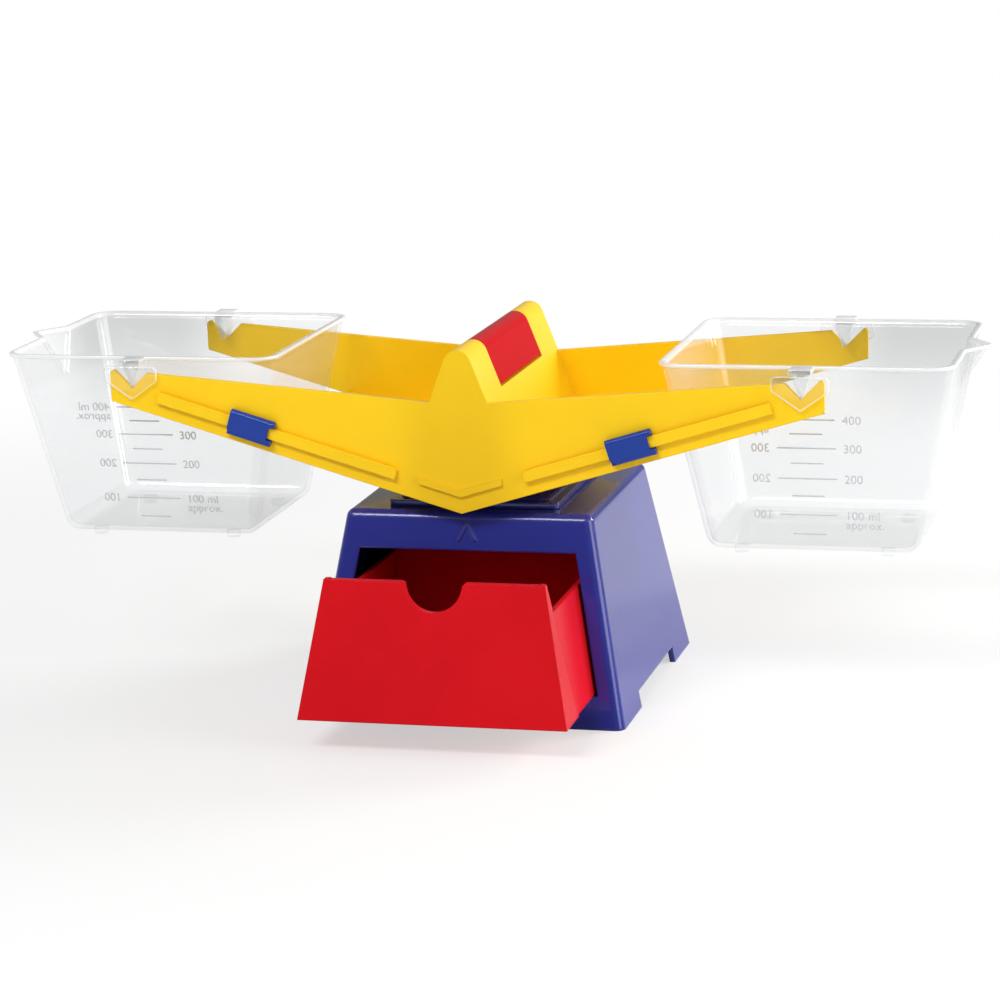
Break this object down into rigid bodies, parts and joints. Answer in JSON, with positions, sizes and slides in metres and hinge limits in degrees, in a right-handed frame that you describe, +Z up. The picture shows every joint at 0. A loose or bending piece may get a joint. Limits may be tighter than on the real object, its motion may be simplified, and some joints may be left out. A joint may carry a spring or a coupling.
{
  "type": "bucket balance",
  "caption": "Classroom balance with clear hanging buckets, a rocking trough beam with zeroing sliders, and a sloping base that holds a storage drawer.",
  "frame": {"origin": "on the table, under the middle of the box that the part fills with its drawer as stored", "axes": "+X along the beam to the right as seen from the drawer, +Y away from the drawer, +Z up"},
  "size_m": [0.4226, 0.1916, 0.1562],
  "materials": {
    "blue_plastic": "glossy moulded blue",
    "slider_plastic": "glossy moulded bright blue",
    "red_plastic": "glossy moulded red",
    "yellow_plastic": "glossy moulded yellow",
    "clear_plastic": "clear, slightly grey, polished",
    "steel": "bright drawn"
  },
  "bodies": {
    "base": {"base_housing": "blue_plastic", "base_floor": "blue_plastic", "floor_screws": "steel", "fulcrum_post": "blue_plastic", "post_screws": "steel", "pivot_pin": "steel"},
    "beam": {"beam": "yellow_plastic", "ridge_bearing": "red_plastic"},
    "drawer": {"drawer": "red_plastic"},
    "slider_left": {"slider_left": "slider_plastic"},
    "slider_right": {"slider_right": "slider_plastic"},
    "bucket_left": {"bucket_left": "clear_plastic"},
    "bucket_right": {"bucket_right": "clear_plastic"}
  },
  "joints": [
    {"name": "beam_tilt", "type": "hinge", "parent": "base", "child": "beam", "pos_m": [0, 0.02455, 0.147], "axis": [0, 1, 0], "range_deg": [-11, 11]},
    {"name": "bucket_left_swing", "type": "hinge", "parent": "beam", "child": "bucket_left", "pos_m": [-0.1415, 0.02455, 0.13926], "axis": [0, 1, 0], "range_deg": [-10, 10]},
    {"name": "bucket_right_swing", "type": "hinge", "parent": "beam", "child": "bucket_right", "pos_m": [0.1415, 0.02455, 0.13926], "axis": [0, 1, 0], "range_deg": [-10, 10]},
    {"name": "slider_left_slide", "type": "slide", "parent": "beam", "child": "slider_left", "axis": [-0.9587, 0, 0.2844], "range_m": [-0.0545, 0.0305]},
    {"name": "slider_right_slide", "type": "slide", "parent": "beam", "child": "slider_right", "axis": [0.9587, 0, 0.2844], "range_m": [-0.0375, 0.0475]},
    {"name": "drawer_slide", "type": "slide", "parent": "base", "child": "drawer", "axis": [0, 1, 0], "range_m": [-0.028, 0.052]}
  ]
}
